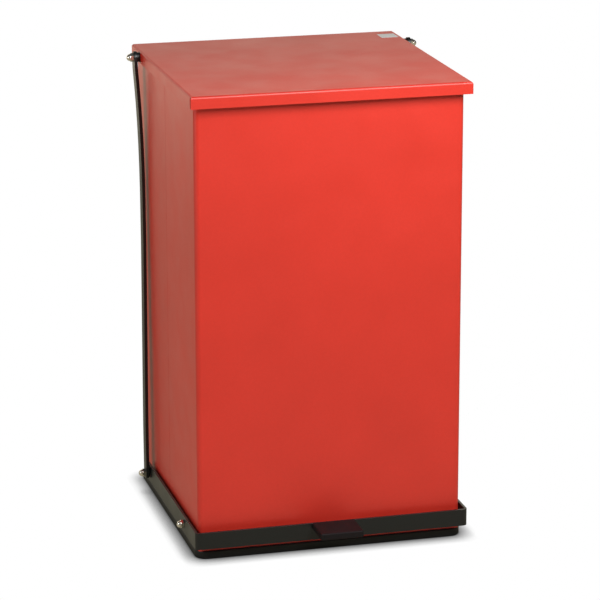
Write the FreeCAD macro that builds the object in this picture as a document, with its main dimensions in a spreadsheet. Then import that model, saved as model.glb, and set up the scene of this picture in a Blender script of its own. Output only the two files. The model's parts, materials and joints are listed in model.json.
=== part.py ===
import FreeCAD, Part
import os
import re
from math import radians

import Sketcher

# Square step-on waste can of painted sheet steel, in millimetres.
# +Z is up, -Y is the front with the pedal, and the origin is on the floor
# under the middle of the whole can, from pedal to hinge.

os.makedirs("parts", exist_ok=True)

Vector = FreeCAD.Vector
doc = FreeCAD.newDocument("StepOnCan")
sheet = doc.addObject("Spreadsheet::Sheet", "Sizes")

# Driving dimensions: one name, one number, one meaning.
SIZES = (
    ("total_height", 614.5, "floor to the top of the closed lid"),
    ("body_width", 354.0, "outside width of the casing"),
    ("body_depth", 344.0, "outside depth of the casing"),
    ("shell_sheet", 1.0, "casing sheet thickness"),
    ("shell_corner", 7.0, "outside bend radius of the casing's corners"),
    ("shell_foot", 2.5, "rubber under the casing's lower edge"),
    ("seam_place", 3.0, "side seams ahead of the casing's middle"),
    ("seam_gap", 0.5, "open joint between the two casing halves"),
    ("strip_width", 22.0, "width of the backing strip behind a seam"),
    ("fit_gap", 0.1, "clearance between pieces that nest or rest together"),
    ("bumper_proud", 3.0, "how far the base bumper stands out of the casing"),
    ("bumper_height", 10.5, "height of the base bumper"),
    ("bumper_lip", 2.0, "thickness of the bumper's inner lip"),
    ("bumper_round", 1.8, "rounding of the bumper's outer edges"),
    ("bumper_corner", 16.0, "outside radius of the bumper's corners"),
    ("floor_level", 12.0, "underside of the floor pan"),
    ("floor_sheet", 1.0, "floor pan sheet thickness"),
    ("floor_flange", 8.0, "height of the floor pan's turned-up edge"),
    ("rim_width", 8.0, "width of the stiffening rim's top flange"),
    ("rim_leg", 12.0, "height of the stiffening rim's leg"),
    ("rim_sheet", 1.0, "stiffening rim sheet thickness"),
    ("lid_side", 6.75, "how far the lid stands over each side wall"),
    ("lid_overhang", 13.9, "how far the lid stands over the front wall"),
    ("lid_back", 0.9, "how far the lid stands over the rear wall"),
    ("lid_sheet", 1.2, "lid sheet thickness"),
    ("lid_skirt", 15.8, "depth of the lid's turned-down edges"),
    ("lid_bend", 3.2, "outside bend radius of the lid's edges"),
    ("lid_slit", 4.0, "open slit between the front and side skirts"),
    ("lid_rest", 2.4, "space between the casing's top edge and the lid sheet"),
    ("pad_radius", 3.5, "radius of the lid's rubber buttons"),
    ("pad_inset", 5.2, "button centre to the outside of the casing"),
    ("pad_front", 30.0, "front buttons to the outside of the front wall"),
    ("pad_rear", 70.0, "rear buttons to the outside of the rear wall"),
    ("label_width", 24.0, "blank label, left to right"),
    ("label_depth", 26.0, "blank label, front to back"),
    ("label_thick", 0.2, "label thickness"),
    ("label_side", 5.5, "label to the side of the lid"),
    ("label_back", 19.5, "label to the back of the lid"),
    ("hinge_inset", 12.0, "end of the piano hinge to the side of the casing"),
    ("knuckle_radius", 3.0, "outside radius of a hinge knuckle"),
    ("leaf_sheet", 1.0, "hinge leaf thickness"),
    ("leaf_drop", 24.0, "height of the leaf on the casing"),
    ("leaf_reach", 20.0, "depth of the leaf under the lid"),
    ("hinge_pin_radius", 1.5, "radius of the hinge pin"),
    ("knuckle_gap", 0.4, "space between neighbouring knuckles"),
    ("run_clearance", 0.06, "radial clearance of pins in their bores"),
    ("rivet_radius", 1.6, "hinge rivet shank radius"),
    ("rivet_head", 3.2, "hinge rivet head radius"),
    ("rivet_dome", 1.2, "hinge rivet head height"),
    ("rivet_drop", 18.0, "hinge rivets below the hinge axis"),
    ("liner_gap", 16.0, "casing outside to liner outside"),
    ("liner_sheet", 0.8, "liner wall"),
    ("liner_corner", 30.0, "outside radius of the liner's corners"),
    ("liner_drop", 15.0, "liner top below the casing's top edge"),
    ("bead_size", 4.0, "how far the liner's rim bead stands out"),
    ("bead_height", 7.0, "height of the liner's rim bead"),
    ("bead_round", 1.8, "rounding of the liner's rim bead"),
    ("bail_radius", 2.5, "radius of the carrying bail's wire"),
    ("bail_bend", 28.0, "bend radius of the bail's corners"),
    ("bail_wall", 0.8, "resting bail to the liner's front wall"),
    ("bail_pivot_drop", 46.0, "bail pivot below the liner's top"),
    ("bail_rest_angle", 16.0, "rise of the bail resting on the front wall, degrees"),
    ("boss_radius", 8.0, "radius of a bail boss"),
    ("boss_length", 5.0, "how far a bail boss stands into the liner"),
    ("bar_height", 22.5, "height of the pedal band's flat bar"),
    ("bar_thick", 3.2, "thickness of the pedal band's flat bar"),
    ("band_bottom", 18.0, "underside of the pedal band above the floor"),
    ("band_side_gap", 3.8, "side wall to the band"),
    ("band_front_gap", 11.9, "front wall to the band"),
    ("band_corner", 6.0, "outside bend radius of the band"),
    ("band_tail", 11.0, "band beyond its rear pin"),
    ("pivot_setback", 57.0, "front wall to the pedal pivots"),
    ("foot_setback", 72.0, "rear wall to the rods' lower pins"),
    ("bolt_radius", 3.0, "shank radius of the pivot bolts"),
    ("head_radius", 6.2, "radius of the bolt heads at the pedal band"),
    ("lid_head_radius", 5.0, "radius of the bolt heads inside the lid's skirts"),
    ("head_height", 2.2, "height of the bolt heads"),
    ("face_gap", 0.2, "space between faces that slide on each other"),
    ("bush_radius", 6.5, "radius of the black spacers"),
    ("slot_travel", 6.2, "how far a lower bolt floats each way along the band"),
    ("slot_rise", 2.5, "how far a lower bolt floats up and down in the band"),
    ("foot_spacer", 1.3, "band to the lower end of a rod"),
    ("top_spacer", 4.2, "lid skirt to the upper end of a rod"),
    ("rod_width", 16.0, "width of a lift rod"),
    ("rod_thick", 4.4, "thickness of a lift rod"),
    ("rod_top_setback", 50.0, "rear wall to the rods' upper pins"),
    ("rod_hollow", 3.6, "how far a rod's middle bows towards the wall"),
    ("rod_waist_drop", 186.6, "most bowed place of a rod below its upper pin"),
    ("nut_radius", 5.9, "dome nut across its corners, halved"),
    ("nut_hex", 4.4, "height of a dome nut's hexagon"),
    ("nut_dome", 4.6, "radius of a dome nut's dome"),
    ("nut_bore", 6.0, "depth of a dome nut's bore"),
    ("plate_width", 50.0, "width of the steel pedal plate"),
    ("plate_reach", 42.0, "pedal plate in front of the band"),
    ("plate_thick", 3.2, "thickness of the pedal plate"),
    ("tread_width", 57.0, "width of the rubber pedal tread"),
    ("tread_reach", 46.0, "rubber tread in front of the band"),
    ("tread_thick", 9.0, "thickness of the rubber tread"),
    ("tread_rise", 1.0, "tread above the band's top edge"),
    ("tread_round", 1.8, "rounding of the tread's edges"),
)
KNUCKLES = 11
RIVETS = 6
X_AXIS = Vector(1, 0, 0)
Y_AXIS = Vector(0, 1, 0)
Z_AXIS = Vector(0, 0, 1)
QUARTER_TURN = 90
HEX_SIDES = 6
TOUCH = 0.01  # closer than this, two places are the same
LOWER_HANDLE = 1 / 3  # pull of the rod's bow at its foot and waist
WAIST_HANDLE = 2 / 3  # pull of the bow above the waist
TOP_HANDLE = 1 / 10  # pull of the bow where it meets the rod's upper end

for line, (alias, number, meaning) in enumerate(SIZES, start=1):
    sheet.set(f"A{line}", str(number))
    sheet.set(f"B{line}", meaning)
    sheet.setAlias(f"A{line}", alias)
doc.recompute()

# Places that several pieces share, as rules in the sheet's words.
HALF_WIDTH = "(body_width / 2)"
MIDDLE = "((band_front_gap + bar_thick + tread_reach - 2 * knuckle_radius) / 2)"
FRONT = f"({MIDDLE} - body_depth / 2)"
REAR = f"({MIDDLE} + body_depth / 2)"
SEAM = f"({MIDDLE} - seam_place)"
SHELL_TOP = "(total_height - lid_sheet - lid_rest)"
INSIDE = "(shell_sheet + fit_gap)"
LID_HALF = "(body_width / 2 + lid_side)"
LID_FRONT = f"({FRONT} - lid_overhang)"
LID_REAR = f"({REAR} + lid_back)"
LID_UNDER = "(total_height - lid_sheet)"
HINGE_LENGTH = "(body_width - 2 * hinge_inset)"
HINGE_Y = f"({REAR} + knuckle_radius)"
HINGE_Z = "(total_height - lid_sheet - knuckle_radius)"
BAND_INNER = "(body_width / 2 + band_side_gap)"
BAND_OUTER = "(body_width / 2 + band_side_gap + bar_thick)"
BAND_FRONT = f"({FRONT} - band_front_gap - bar_thick)"
BAND_TOP = "(band_bottom + bar_height)"
PIN_Z = "(band_bottom + bar_height / 2)"
PIVOT_Y = f"({FRONT} + pivot_setback)"
FOOT_Y = f"({REAR} - foot_setback)"
TOP_PIN_Y = f"({REAR} - rod_top_setback)"
TOP_PIN_Z = "(total_height - lid_skirt / 2)"
ROD_FOOT_X = f"({BAND_OUTER} + foot_spacer + rod_thick / 2)"
ROD_TOP_X = f"({LID_HALF} + top_spacer + rod_thick / 2)"
LINER_TOP = f"({SHELL_TOP} - liner_drop)"
LINER_FOOT = "(floor_level + floor_sheet + fit_gap)"
LINER_INNER = "(body_width / 2 - liner_gap - liner_sheet)"
BAIL_X = f"({LINER_INNER} - boss_length - face_gap - bail_radius)"
BAIL_SPAN = "(body_depth / 2 - liner_gap - liner_sheet - bail_wall - bail_radius)"
BAIL_ARM = f"({BAIL_SPAN} / cos(bail_rest_angle))"
ROD_LENGTH = f"(sqrt(({TOP_PIN_Y} - {FOOT_Y}) ^ 2 + ({TOP_PIN_Z} - {PIN_Z}) ^ 2))"
BORE = "(bolt_radius + run_clearance)"
BORE_OF_RIVET = "(rivet_radius + run_clearance)"

nodes = []


def formula(rule):
    """Turn a rule in the sheet's words into an expression on its cells."""
    return re.sub(r"[a-z]+(?:_[a-z]+)+", lambda word: "Sizes." + word.group(), rule)


def number_of(rule):
    """The present value of a rule."""
    return float(sheet.evalExpression(formula(rule)))


def bind(thing, **rules):
    """Tie properties to rules."""
    for name, rule in rules.items():
        thing.setExpression(name, formula(rule))
    return thing


def place(thing, x, y, z):
    """Tie a piece's position to rules."""
    thing.setExpression("Placement.Base.x", formula(x))
    thing.setExpression("Placement.Base.y", formula(y))
    thing.setExpression("Placement.Base.z", formula(z))
    return thing


def keep(thing, label):
    """Give a finished piece its name and list it for writing."""
    thing.Label = label
    nodes.append(thing)
    return thing


# ---- Plain solids ------------------------------------------------------

def block(name, low, size):
    """A box from its lowest corner and its size."""
    solid = doc.addObject("Part::Box", name)
    bind(solid, Length=size[0], Width=size[1], Height=size[2])
    return place(solid, *low)


def bar(name, start, radius, length, axis=X_AXIS):
    """A round bar that starts at a point and runs along an axis."""
    solid = doc.addObject("Part::Cylinder", name)
    bind(solid, Radius=radius, Height=length)
    solid.Placement.Rotation = FreeCAD.Rotation(Z_AXIS, axis)
    return place(solid, *start)


def fuse(name, *pieces):
    """Join pieces that meet into one solid."""
    solid = doc.addObject("Part::MultiFuse", name)
    solid.Shapes = list(pieces)
    return solid


def cut(name, base, *tools):
    """Take every tool away from the base."""
    solid = doc.addObject("Part::Cut", name)
    solid.Base = base
    solid.Tool = tools[0] if len(tools) == 1 else fuse(name + "Tools", *tools)
    return solid


def mirrored(name, source):
    """The same piece on the other side of the can."""
    solid = doc.addObject("Part::Mirroring", name)
    solid.Source = source
    solid.Normal = X_AXIS
    return solid


def pair(name, source):
    """A piece and its mirror image as separate solids of one node."""
    group = doc.addObject("Part::Compound", name)
    group.Links = [source, mirrored(name + "Other", source)]
    return group


# ---- Bodies drawn from outlines ----------------------------------------

def sketch_on(body, name, level):
    """A sketch on the body's own XY plane, raised to a level."""
    sketch = body.newObject("Sketcher::SketchObject", name)
    plane = next(item for item in body.Origin.OriginFeatures if item.Role == "XY_Plane")
    sketch.AttachmentSupport = [(plane, "")]
    sketch.MapMode = "FlatFace"
    sketch.setExpression("AttachmentOffset.Base.z", formula(level))
    return sketch


def fix(sketch, kind, first, point, rule):
    """Fix a point's distance from the origin, or a radius, to a rule."""
    value = number_of(rule)
    if kind == "Radius":
        index = sketch.addConstraint(Sketcher.Constraint(kind, first, value))
    else:
        index = sketch.addConstraint(Sketcher.Constraint(kind, -1, 1, first, point, value))
    sketch.setExpression(f"Constraints[{index}]", formula(rule))


def rounded_outline(sketch, half_width, front, rear, corner):
    """A rectangle with four equal round corners, fixed to rules.

    Sides and corner arcs follow each other in turn, counter-clockwise from the front.
    """
    x, low, high, r = (number_of(rule) for rule in (half_width, front, rear, corner))
    first = sketch.GeometryCount
    points = (
        (Vector(-x + r, low, 0), Vector(x - r, low, 0)),
        (Vector(x, low + r, 0), Vector(x, high - r, 0)),
        (Vector(x - r, high, 0), Vector(-x + r, high, 0)),
        (Vector(-x, high - r, 0), Vector(-x, low + r, 0)),
    )
    centres = ((x - r, low + r), (x - r, high - r), (-x + r, high - r), (-x + r, low + r))
    for side, (line, centre) in enumerate(zip(points, centres)):
        sketch.addGeometry(Part.LineSegment(*line), False)
        circle = Part.Circle(Vector(*centre, 0), Z_AXIS, r)
        begin = (side - 1) * radians(QUARTER_TURN)
        sketch.addGeometry(Part.ArcOfCircle(circle, begin, begin + radians(QUARTER_TURN)), False)
    last = sketch.GeometryCount - 1
    for side in range(len(points)):
        line = first + 2 * side
        arc = line + 1
        following = first if arc == last else arc + 1
        sketch.addConstraint(Sketcher.Constraint("Tangent", line, 2, arc, 1))
        sketch.addConstraint(Sketcher.Constraint("Tangent", arc, 2, following, 1))
        if side % 2 == 0:
            sketch.addConstraint(Sketcher.Constraint("Horizontal", line))
        else:
            sketch.addConstraint(Sketcher.Constraint("Vertical", line))
        if side:
            sketch.addConstraint(Sketcher.Constraint("Equal", first + 1, arc))
    fix(sketch, "DistanceY", first, 1, front)
    fix(sketch, "DistanceX", first + 2, 1, half_width)
    fix(sketch, "DistanceY", first + 4, 1, rear)
    fix(sketch, "DistanceX", first + 6, 1, f"-({half_width})")
    fix(sketch, "Radius", first + 1, 0, corner)


def prism(name, outlines, level, height):
    """A body padded upwards from one or two nested rounded outlines."""
    body = doc.addObject("PartDesign::Body", name)
    sketch = sketch_on(body, name + "Outline", level)
    for outline in outlines:
        rounded_outline(sketch, *outline)
    pad = body.newObject("PartDesign::Pad", name + "Pad")
    pad.Profile = sketch
    bind(pad, Length=height)
    doc.recompute()
    return body


def grown(offset, corner=None):
    """The casing's outline moved outwards by an offset."""
    radius = corner or f"(shell_corner + {offset})"
    return (f"({HALF_WIDTH} + {offset})", f"({FRONT} - {offset})", f"({REAR} + {offset})", radius)


def ring(name, offset, wall, level, height, corner=None):
    """An upright band of even wall that follows the casing's outline."""
    inner_corner = corner and f"({corner} - {wall})"
    outlines = (grown(offset, corner), grown(f"({offset} - {wall})", inner_corner))
    return prism(name, outlines, level, height)


def slab(name, offset, level, height, corner=None):
    """A plate with the casing's outline."""
    return prism(name, (grown(offset, corner),), level, height)


def edges_where(shape, test):
    """Names of the edges whose boxes pass a test."""
    return [f"Edge{index}" for index, edge in enumerate(shape.Edges, start=1) if test(edge.BoundBox)]


def round_edges(body, name, radius, test):
    """Fillet the edges that a test on their boxes picks."""
    base = body.Tip
    edges = edges_where(base.Shape, test)
    feature = body.newObject("PartDesign::Fillet", name)
    feature.Base = (base, edges)
    bind(feature, Radius=radius)
    body.Tip = feature
    doc.recompute()
    return body


def outside_of(offset):
    """A test for level edges that lie outside the casing's outline grown by an offset."""
    x, front, rear = (number_of(rule) for rule in grown(offset)[:3])

    def test(box):
        sideways = box.XMax > x or box.XMin < -x
        lengthways = box.YMin < front or box.YMax > rear
        return box.ZLength < TOUCH and (sideways or lengthways)

    return test


# ---- Fasteners ---------------------------------------------------------

def bolt(name, head_x, y, z, length, head_radius="head_radius"):
    """A flat-headed bolt whose head starts at head_x and whose shank points outwards."""
    head = bar(name + "Head", (head_x, y, z), head_radius, "head_height")
    shank = bar(name + "Shank", (head_x, y, z), "bolt_radius", length)
    return fuse(name, head, shank)


def spacer(name, x, y, z, length):
    """A black spacer tube round a bolt."""
    tube = bar(name + "Tube", (x, y, z), "bush_radius", length)
    return cut(name, tube, bar(name + "Bore", (x, y, z), BORE, length))


def dome_nut(name, x, y, z):
    """A bright hexagon nut with a closed dome."""
    turn = FreeCAD.Rotation(Z_AXIS, X_AXIS)
    hexagon = doc.addObject("Part::Prism", name + "Hexagon")
    hexagon.Polygon = HEX_SIDES
    hexagon.Placement.Rotation = turn
    place(bind(hexagon, Circumradius="nut_radius", Height="nut_hex"), x, y, z)
    dome = doc.addObject("Part::Sphere", name + "Dome")
    dome.Angle1 = 0
    dome.Placement.Rotation = turn
    place(bind(dome, Radius="nut_dome"), f"{x} + nut_hex - run_clearance", y, z)
    solid = fuse(name + "Solid", hexagon, dome)
    return cut(name, solid, bar(name + "Bore", (x, y, z), BORE, "nut_bore"))


# ---- Casing ------------------------------------------------------------

def pivot_bore(name):
    """A bar right through the can on the pedal pivots' axis."""
    return bar(name, ("-body_width", PIVOT_Y, PIN_Z), BORE, "2 * body_width")


def make_shells():
    """The casing's two folded halves, which meet at a seam on each side."""
    height = f"{SHELL_TOP} - shell_foot"
    wide = "2 * body_width"
    front_ring = ring("FrontRing", "0", "shell_sheet", "shell_foot", height)
    behind = block("BehindSeam", ("-body_width", SEAM, "0"), (wide, "body_depth", "total_height"))
    keep(cut("FrontShell", front_ring, behind, pivot_bore("ShellBores")), "front_shell")
    rear_ring = ring("RearRing", "0", "shell_sheet", "shell_foot", height)
    ahead = block(
        "AheadOfSeam",
        ("-body_width", f"{SEAM} + seam_gap - body_depth", "0"),
        (wide, "body_depth", "total_height"),
    )
    keep(cut("RearShell", rear_ring, ahead, *rivet_bars("ShellRivetBore", BORE_OF_RIVET)), "rear_shell")


def make_seam_strips():
    """The strips that back the side seams."""
    low = (
        f"{HALF_WIDTH} - {INSIDE} - shell_sheet",
        f"{SEAM} + seam_gap / 2 - strip_width / 2",
        "floor_level + floor_flange + floor_sheet",
    )
    height = f"{SHELL_TOP} - rim_leg - rim_sheet - floor_level - floor_flange - floor_sheet"
    strip = block("SeamStrip", low, ("shell_sheet", "strip_width", height))
    keep(pair("SeamStrips", strip), "seam_strips")


def make_floor_pan():
    """The casing's floor, with its edge turned up."""
    plate = slab("FloorPlate", f"-{INSIDE}", "floor_level", "floor_sheet")
    edge = ring("FloorEdge", f"-{INSIDE}", "floor_sheet", "floor_level", "floor_flange")
    keep(fuse("FloorPan", plate, edge), "floor_pan")


def make_top_rim():
    """The angle that stiffens the casing's top edge."""
    leg = ring("RimLeg", f"-{INSIDE}", "rim_sheet", f"{SHELL_TOP} - rim_leg", "rim_leg")
    level = f"{SHELL_TOP} - rim_sheet"
    top = ring("RimTop", f"-{INSIDE}", "rim_width", level, "rim_sheet", "shell_corner + rim_width")
    keep(fuse("TopRim", leg, top), "top_rim")


def make_base_bumper():
    """Rubber channel that the casing's lower edge stands in."""
    outlines = (
        grown("bumper_proud", "bumper_corner"),
        grown(f"(-{INSIDE} - bumper_lip)", "(shell_corner - shell_sheet)"),
    )
    solid = prism("BumperRing", outlines, "0", "bumper_height")
    round_edges(solid, "BumperRounding", "bumper_round", outside_of("bumper_proud / 2"))
    slot = "(shell_sheet + 2 * fit_gap)"
    channel = ring("BumperChannel", "fit_gap", slot, "shell_foot - fit_gap", "bumper_height")
    keep(cut("BaseBumper", solid, channel), "base_bumper")


# ---- Liner pail --------------------------------------------------------

def make_liner():
    """The lift-out pail and the bead round its top."""
    outline = "-liner_gap"
    height = f"{LINER_TOP} - {LINER_FOOT}"
    wall = ring("LinerWall", outline, "liner_sheet", LINER_FOOT, height, "liner_corner")
    bottom = slab("LinerBottom", outline, LINER_FOOT, "liner_sheet", "liner_corner")
    keep(fuse("LinerPail", wall, bottom), "liner_pail")
    bead = ring(
        "LinerBead", "(bead_size - liner_gap)", "(bead_size - fit_gap)",
        f"{LINER_TOP} - bead_height", "bead_height", "(liner_corner + bead_size)",
    )
    round_edges(bead, "BeadRounding", "bead_round", outside_of("(bead_size / 2 - liner_gap)"))
    keep(bead, "liner_rim")


def make_bail():
    """Wire handle that has dropped forward on to the liner's front wall."""
    straight = f"({BAIL_ARM} - bail_bend)"
    arm = bar("BailArm", (BAIL_X, "bail_radius", "0"), "bail_radius", f"{straight} + bail_radius", -Y_AXIS)
    stub = bar("BailStub", (BAIL_X, "0", "0"), "bail_radius", "bail_radius + face_gap + boss_length / 2")
    corner = doc.addObject("Part::Torus", "BailCorner")
    corner.Angle3 = QUARTER_TURN
    corner.Placement.Rotation = FreeCAD.Rotation(Z_AXIS, -QUARTER_TURN)
    bind(corner, Radius1="bail_bend", Radius2="bail_radius")
    place(corner, f"{BAIL_X} - bail_bend", f"-{straight}", "0")
    half = fuse("BailSide", fuse("BailArmEnd", arm, stub), corner)
    start = (f"bail_bend - {BAIL_X}", f"-{BAIL_ARM}", "0")
    cross = bar("BailCross", start, "bail_radius", f"2 * ({BAIL_X} - bail_bend)")
    wire = fuse("LinerBail", half, mirrored("BailSideOther", half), cross)
    wire.Placement.Rotation = FreeCAD.Rotation(-X_AXIS, QUARTER_TURN)
    bind(wire, **{"Placement.Rotation.Angle": "bail_rest_angle"})
    pivot_z = f"{LINER_TOP} - bail_pivot_drop"
    keep(place(wire, "0", MIDDLE, pivot_z), "liner_bail")
    inner_end = (f"{LINER_INNER} - boss_length", MIDDLE, pivot_z)
    boss = bar("BailBossBlank", inner_end, "boss_radius", "boss_length - fit_gap")
    socket = bar("BailSocket", inner_end, "bail_radius + run_clearance", "boss_length / 2 + fit_gap")
    keep(pair("BailBosses", cut("BailBoss", boss, socket)), "bail_bosses")


# ---- Hinge -------------------------------------------------------------

def rivet_bars(name, radius, y=f"{REAR} - shell_sheet - rivet_dome",
               length="shell_sheet + leaf_sheet + 2 * rivet_dome"):
    """Bars along Y at every hinge rivet."""
    bars = []
    for index in range(RIVETS):
        x = f"{HINGE_LENGTH} * ((2 * {index} + 1) / (2 * {RIVETS}) - 1 / 2)"
        bars.append(bar(name + str(index), (x, y, f"{HINGE_Z} - rivet_drop"), radius, length, Y_AXIS))
    return bars


def knuckle_bars(name, which, radius, spare):
    """Every second knuckle of the hinge; spare lengthens each at both ends."""
    bars = []
    for index in range(which, KNUCKLES, 2):
        x = f"{HINGE_LENGTH} * {index} / {KNUCKLES} - {HINGE_LENGTH} / 2 - ({spare})"
        length = f"{HINGE_LENGTH} / {KNUCKLES} + 2 * ({spare})"
        bars.append(bar(name + str(index), (x, HINGE_Y, HINGE_Z), radius, length))
    return bars


def leaf(name, plate, which, *holes):
    """A hinge leaf: a plate, its own knuckles, and room for the other leaf's."""
    own = knuckle_bars(name + "Knuckle", which, "knuckle_radius", "-knuckle_gap / 2")
    room = knuckle_bars(name + "Room", 1 - which, "knuckle_radius + knuckle_gap", "knuckle_gap / 2")
    start = ("-body_width", HINGE_Y, HINGE_Z)
    pin_bore = bar(name + "Bore", start, "hinge_pin_radius + run_clearance", "2 * body_width")
    return cut(name, fuse(name + "Blank", plate, *own), pin_bore, *room, *holes)


def make_hinge():
    """The piano hinge: two leaves, their pin, and the rivets through the rear wall."""
    left = f"-{HINGE_LENGTH} / 2"
    low = (left, f"{REAR} + fit_gap / 2", f"{HINGE_Z} - leaf_drop")
    body_plate = block("BodyLeafPlate", low, (HINGE_LENGTH, "leaf_sheet", "leaf_drop"))
    holes = rivet_bars("LeafRivetBore", BORE_OF_RIVET)
    keep(leaf("BodyLeaf", body_plate, 0, *holes), "hinge_leaf_body")
    low = (left, f"{HINGE_Y} - leaf_reach", f"{LID_UNDER} - leaf_sheet")
    lid_plate = block("LidLeafPlate", low, (HINGE_LENGTH, "leaf_reach", "leaf_sheet - fit_gap / 2"))
    keep(leaf("LidLeaf", lid_plate, 1), "hinge_leaf_lid")
    keep(bar("HingePin", (left, HINGE_Y, HINGE_Z), "hinge_pin_radius", HINGE_LENGTH), "hinge_pin")
    shanks = rivet_bars("RivetShank", "rivet_radius")
    height = "rivet_dome - fit_gap"
    outer = rivet_bars("RivetOuter", "rivet_head", f"{REAR} + leaf_sheet + fit_gap", height)
    inner = rivet_bars("RivetInner", "rivet_head", f"{REAR} - shell_sheet - rivet_dome", height)
    rivets = doc.addObject("Part::Compound", "HingeRivets")
    rivets.Links = [fuse(f"Rivet{index}", *ends) for index, ends in enumerate(zip(shanks, outer, inner))]
    keep(rivets, "hinge_rivets")


# ---- Pedal pivots on the casing ----------------------------------------

def make_pedal_pivots():
    """The bolts, bushes and dome nuts that the pedal band turns on."""
    head_x = f"({HALF_WIDTH} - shell_sheet - head_height - fit_gap / 2)"
    nut_x = f"({BAND_OUTER} + face_gap)"
    reach = f"({nut_x} + nut_bore - face_gap - {head_x})"
    keep(pair("PivotBolts", bolt("PivotBolt", head_x, PIVOT_Y, PIN_Z, reach)), "pedal_pivot_bolts")
    length = "band_side_gap - fit_gap / 2 - face_gap"
    bush = spacer("PivotBush", f"{HALF_WIDTH} + fit_gap / 2", PIVOT_Y, PIN_Z, length)
    keep(pair("PivotBushes", bush), "pedal_pivot_bushes")
    keep(pair("PivotNuts", dome_nut("PivotNut", nut_x, PIVOT_Y, PIN_Z)), "pedal_pivot_nuts")


# ---- Lid ---------------------------------------------------------------

def lid_blank():
    """The lid sheet: a flat top with front and side skirts and an open rear."""
    body = doc.addObject("PartDesign::Body", "LidBlank")
    sketch = sketch_on(body, "LidOutline", "total_height - lid_skirt")
    corners = (
        (f"-{LID_HALF}", LID_FRONT),
        (LID_HALF, LID_FRONT),
        (LID_HALF, LID_REAR),
        (f"-{LID_HALF}", LID_REAR),
    )
    spots = [Vector(number_of(x), number_of(y), 0) for x, y in corners]
    for start, end in zip(spots, spots[1:] + spots[:1]):
        sketch.addGeometry(Part.LineSegment(start, end), False)
    for index in range(len(spots)):
        following = (index + 1) % len(spots)
        sketch.addConstraint(Sketcher.Constraint("Coincident", index, 2, following, 1))
    for index, (x, y) in enumerate(corners):
        fix(sketch, "DistanceX", index, 1, x)
        fix(sketch, "DistanceY", index, 1, y)
    pad = body.newObject("PartDesign::Pad", "LidPad")
    pad.Profile = sketch
    bind(pad, Length="lid_skirt")
    doc.recompute()
    top = number_of("total_height")
    low = number_of("total_height - lid_skirt")
    rear = number_of(LID_REAR)
    round_edges(
        body, "LidBends", "lid_bend",
        lambda box: box.ZMin > top - TOUCH and box.YMin < rear - TOUCH,
    )
    bent = body.Tip
    open_faces = [
        f"Face{index}" for index, face in enumerate(bent.Shape.Faces, start=1)
        if face.BoundBox.ZMax < low + TOUCH or face.BoundBox.YMin > rear - TOUCH
    ]
    hollow = body.newObject("PartDesign::Thickness", "LidHollow")
    hollow.Base = (bent, open_faces)
    hollow.Reversed = True
    bind(hollow, Value="lid_sheet")
    body.Tip = hollow
    doc.recompute()
    return body


def make_lid():
    """The lid with its corner slits and pivot holes, its buttons and its blank label."""
    low = (f"{LID_HALF} - 2 * lid_sheet", f"{LID_FRONT} + lid_sheet", "total_height - 2 * lid_skirt")
    slit = block("SkirtSlit", low, ("4 * lid_sheet", "lid_slit", "2 * lid_skirt - lid_sheet"))
    bores = bar("SkirtBores", ("-body_width", TOP_PIN_Y, TOP_PIN_Z), BORE, "2 * body_width")
    keep(cut("LidPan", lid_blank(), slit, mirrored("SkirtSlitOther", slit), bores), "lid_pan")
    buttons = []
    for name, y in (("Front", f"{FRONT} + pad_front"), ("Rear", f"{REAR} - pad_rear")):
        start = (f"{HALF_WIDTH} - pad_inset", y, f"{SHELL_TOP} + face_gap")
        button = bar(name + "Button", start, "pad_radius", "lid_rest - fit_gap - face_gap", Z_AXIS)
        buttons += [button, mirrored(name + "ButtonOther", button)]
    group = doc.addObject("Part::Compound", "LidButtons")
    group.Links = buttons
    keep(group, "lid_buttons")
    low = (f"{LID_HALF} - label_side - label_width", f"{LID_REAR} - label_back - label_depth", "total_height")
    keep(block("LidLabel", low, ("label_width", "label_depth", "label_thick")), "lid_label")


def make_lid_pins():
    """The bolts, spacers and dome nuts that carry the rods' upper ends."""
    head_x = f"({LID_HALF} - lid_sheet - head_height - fit_gap / 2)"
    nut_x = f"({ROD_TOP_X} + rod_thick / 2 + face_gap)"
    reach = f"({nut_x} + nut_bore - face_gap - {head_x})"
    top_bolt = bolt("RodTopBolt", head_x, TOP_PIN_Y, TOP_PIN_Z, reach, "lid_head_radius")
    keep(pair("RodTopBolts", top_bolt), "rod_top_bolts")
    length = "top_spacer - fit_gap / 2 - face_gap"
    tube = spacer("RodTopSpacer", f"{LID_HALF} + fit_gap / 2", TOP_PIN_Y, TOP_PIN_Z, length)
    keep(pair("RodTopSpacers", tube), "rod_top_spacers")
    keep(pair("RodTopNuts", dome_nut("RodTopNut", nut_x, TOP_PIN_Y, TOP_PIN_Z)), "rod_top_nuts")


# ---- Pedal -------------------------------------------------------------

def slot_bars():
    """Bars that cut the rods' lower slots through both arms of the band."""
    half_height = "(bolt_radius + slot_rise)"
    straight = f"(bolt_radius + slot_travel - {half_height})"
    wide = "2 * body_width"
    front_end = bar("SlotFront", ("-body_width", f"{FOOT_Y} - {straight}", PIN_Z), half_height, wide)
    rear_end = bar("SlotRear", ("-body_width", f"{FOOT_Y} + {straight}", PIN_Z), half_height, wide)
    low = ("-body_width", f"{FOOT_Y} - {straight}", f"{PIN_Z} - {half_height}")
    return front_end, rear_end, block("SlotMiddle", low, (wide, f"2 * {straight}", f"2 * {half_height}"))


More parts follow.
